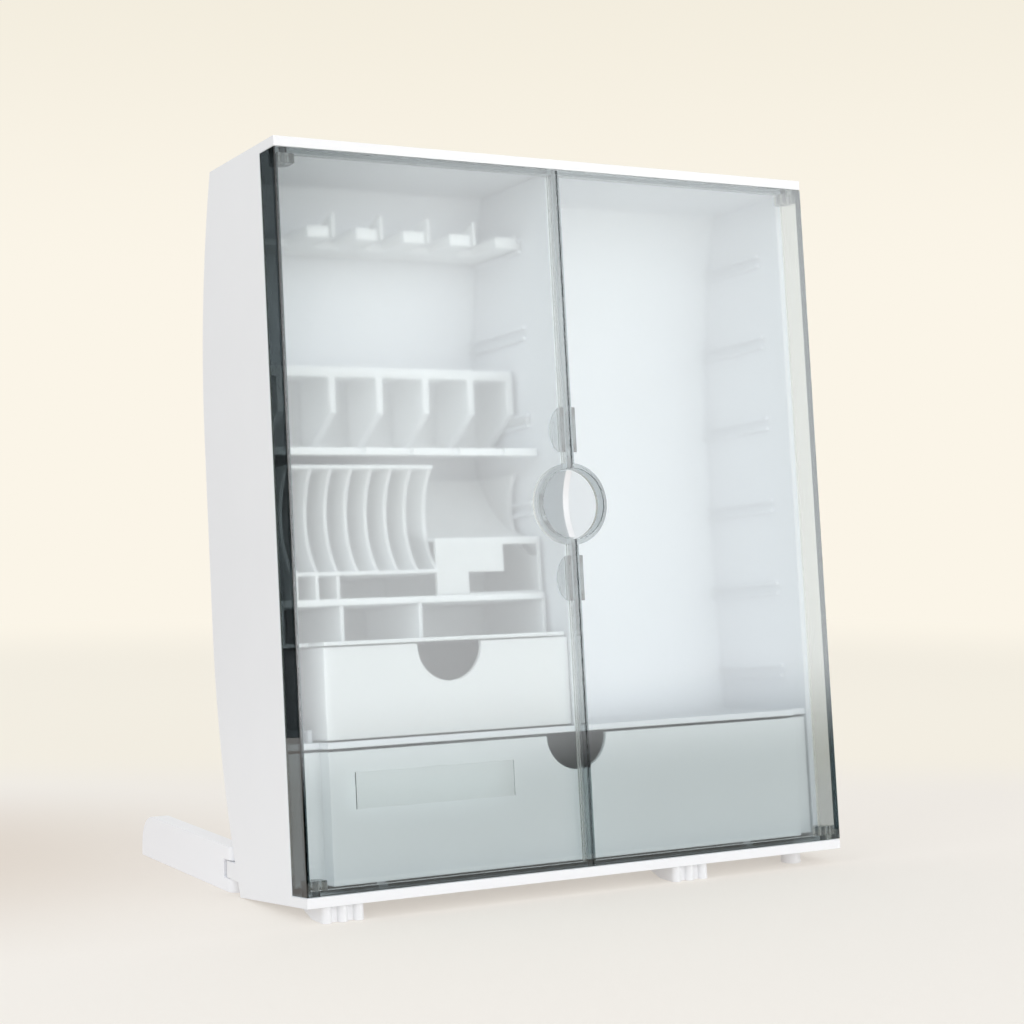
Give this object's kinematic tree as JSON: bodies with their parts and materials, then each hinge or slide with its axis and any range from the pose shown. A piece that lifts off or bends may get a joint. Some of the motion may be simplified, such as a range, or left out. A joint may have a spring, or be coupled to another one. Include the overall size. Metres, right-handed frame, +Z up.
{
  "type": "bobbin box",
  "caption": "Upright two-door storage box for bobbins, presser feet and sewing notions, leaning back on folding rear legs, with drawers and rail-mounted inserts.",
  "frame": {"origin": "centre of the footprint, feet and legs included, on the floor that the box stands on", "axes": "+X to the right of a person facing the doors, +Y from the doors to the back, +Z up"},
  "size_m": [0.262, 0.1784, 0.3081],
  "materials": {
    "white_case": "satin",
    "white_insert": "satin",
    "white_leg": "satin",
    "grey_satin": "satin",
    "smoke_clear": "clear, smoke tinted",
    "dark_pin": "satin",
    "steel_pin": "brushed"
  },
  "bodies": {
    "case": {"case_shell": "white_case", "drawer_shelf": "white_case", "centre_partition": "white_case", "left_wall_rails": "white_case", "partition_left_rails": "white_case", "partition_right_rails": "white_case", "right_wall_rails": "white_case", "left_front_foot": "white_case", "right_front_foot": "white_case", "front_stub_foot": "white_case", "left_leg_pin": "steel_pin", "right_leg_pin": "steel_pin"},
    "left_door_body": {"left_door": "smoke_clear", "left_door_blocks": "smoke_clear", "left_door_catches": "smoke_clear", "left_door_plaque": "smoke_clear", "left_upper_hinge_pin": "dark_pin", "left_lower_hinge_pin": "dark_pin"},
    "right_door_body": {"right_door": "smoke_clear", "right_door_blocks": "smoke_clear", "right_door_catches": "smoke_clear", "right_upper_hinge_pin": "dark_pin", "right_lower_hinge_pin": "dark_pin"},
    "small_drawer_body": {"small_drawer": "white_insert"},
    "large_drawer_body": {"large_drawer": "grey_satin"},
    "bobbin_insert_body": {"bobbin_rack": "white_insert", "notions_tray": "white_insert", "tool_scoop": "white_insert"},
    "lower_foot_body": {"lower_foot_insert": "white_insert"},
    "upper_foot_body": {"upper_foot_insert": "white_insert"},
    "left_leg_body": {"left_leg": "white_leg"},
    "right_leg_body": {"right_leg": "white_leg"}
  },
  "joints": [
    {"name": "left_door_hinge", "type": "hinge", "parent": "case", "child": "left_door_body", "pos_m": [-0.125, -0.06675, 0.15668], "axis": [0, -0.1024, -0.9947], "range_deg": [0, 110]},
    {"name": "right_door_hinge", "type": "hinge", "parent": "case", "child": "right_door_body", "pos_m": [0.125, -0.06675, 0.15668], "axis": [0, 0.1024, 0.9947], "range_deg": [0, 110]},
    {"name": "small_drawer_slide", "type": "slide", "parent": "case", "child": "small_drawer_body", "axis": [0, -0.9947, 0.1024], "range_m": [0, 0.0022]},
    {"name": "large_drawer_slide", "type": "slide", "parent": "case", "child": "large_drawer_body", "axis": [0, -0.9947, 0.1024], "range_m": [0, 0.002]},
    {"name": "bobbin_insert_slide", "type": "slide", "parent": "case", "child": "bobbin_insert_body", "axis": [0, -0.9947, 0.1024], "range_m": [0, 0.0018]},
    {"name": "lower_foot_insert_slide", "type": "slide", "parent": "case", "child": "lower_foot_body", "axis": [0, -0.9947, 0.1024], "range_m": [0, 0.0075]},
    {"name": "upper_foot_insert_slide", "type": "slide", "parent": "case", "child": "upper_foot_body", "axis": [0, -0.9947, 0.1024], "range_m": [0, 0.015]},
    {"name": "left_leg_fold", "type": "hinge", "parent": "case", "child": "left_leg_body", "pos_m": [-0.127, -0.01077, 0.0095], "axis": [0, 0, -1], "range_deg": [0, 90]},
    {"name": "right_leg_fold", "type": "hinge", "parent": "case", "child": "right_leg_body", "pos_m": [0.127, -0.01077, 0.0095], "axis": [0, 0, 1], "range_deg": [0, 90]}
  ]
}
